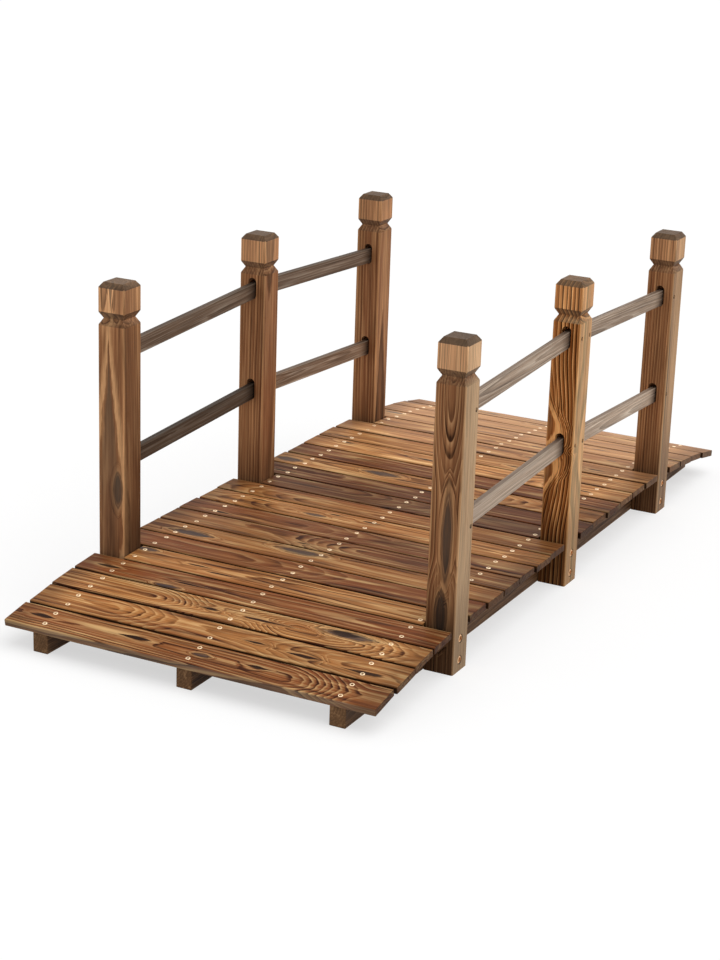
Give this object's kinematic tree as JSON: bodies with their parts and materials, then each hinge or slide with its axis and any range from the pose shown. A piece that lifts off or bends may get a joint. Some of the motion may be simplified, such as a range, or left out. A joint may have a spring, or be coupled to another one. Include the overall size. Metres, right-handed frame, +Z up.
{
  "type": "wooden garden bridge",
  "caption": "Low wooden footbridge for a garden: cross planks on curved-end stringers, with square grooved-cap posts and two sloping rails along each side.",
  "frame": {"origin": "on the ground under the middle of the deck", "axes": "+Z up, +Y along the bridge from its front end to its back end, +X to its right-hand side"},
  "size_m": [0.679, 1.5236, 0.5525],
  "materials": {
    "deck_wood": "stained, satin, burnt grain",
    "stringer_wood": "stained, matte",
    "post_wood": "stained, satin, burnt grain",
    "rail_wood": "stained, weathered, matte",
    "fastener_brass": "plated, polished"
  },
  "bodies": {
    "root": {"deck_plank_01": "deck_wood", "deck_plank_02": "deck_wood", "deck_plank_03": "deck_wood", "deck_plank_04": "deck_wood", "deck_plank_05": "deck_wood", "deck_plank_06": "deck_wood", "deck_plank_07": "deck_wood", "deck_plank_08": "deck_wood", "deck_plank_09": "deck_wood", "deck_plank_10": "deck_wood", "deck_plank_11": "deck_wood", "deck_plank_12": "deck_wood", "deck_plank_13": "deck_wood", "deck_plank_14": "deck_wood", "deck_plank_15": "deck_wood", "deck_plank_16": "deck_wood", "deck_plank_17": "deck_wood", "deck_plank_18": "deck_wood", "deck_plank_19": "deck_wood", "deck_plank_20": "deck_wood", "deck_plank_21": "deck_wood", "deck_plank_22": "deck_wood", "deck_plank_23": "deck_wood", "left_stringer": "stringer_wood", "middle_stringer": "stringer_wood", "right_stringer": "stringer_wood", "front_left_post": "post_wood", "middle_left_post": "post_wood", "back_left_post": "post_wood", "front_right_post": "post_wood", "middle_right_post": "post_wood", "back_right_post": "post_wood", "front_left_lower_rail": "rail_wood", "front_left_upper_rail": "rail_wood", "back_left_lower_rail": "rail_wood", "back_left_upper_rail": "rail_wood", "front_right_lower_rail": "rail_wood", "front_right_upper_rail": "rail_wood", "back_right_lower_rail": "rail_wood", "back_right_upper_rail": "rail_wood"}
  },
  "joints": []
}
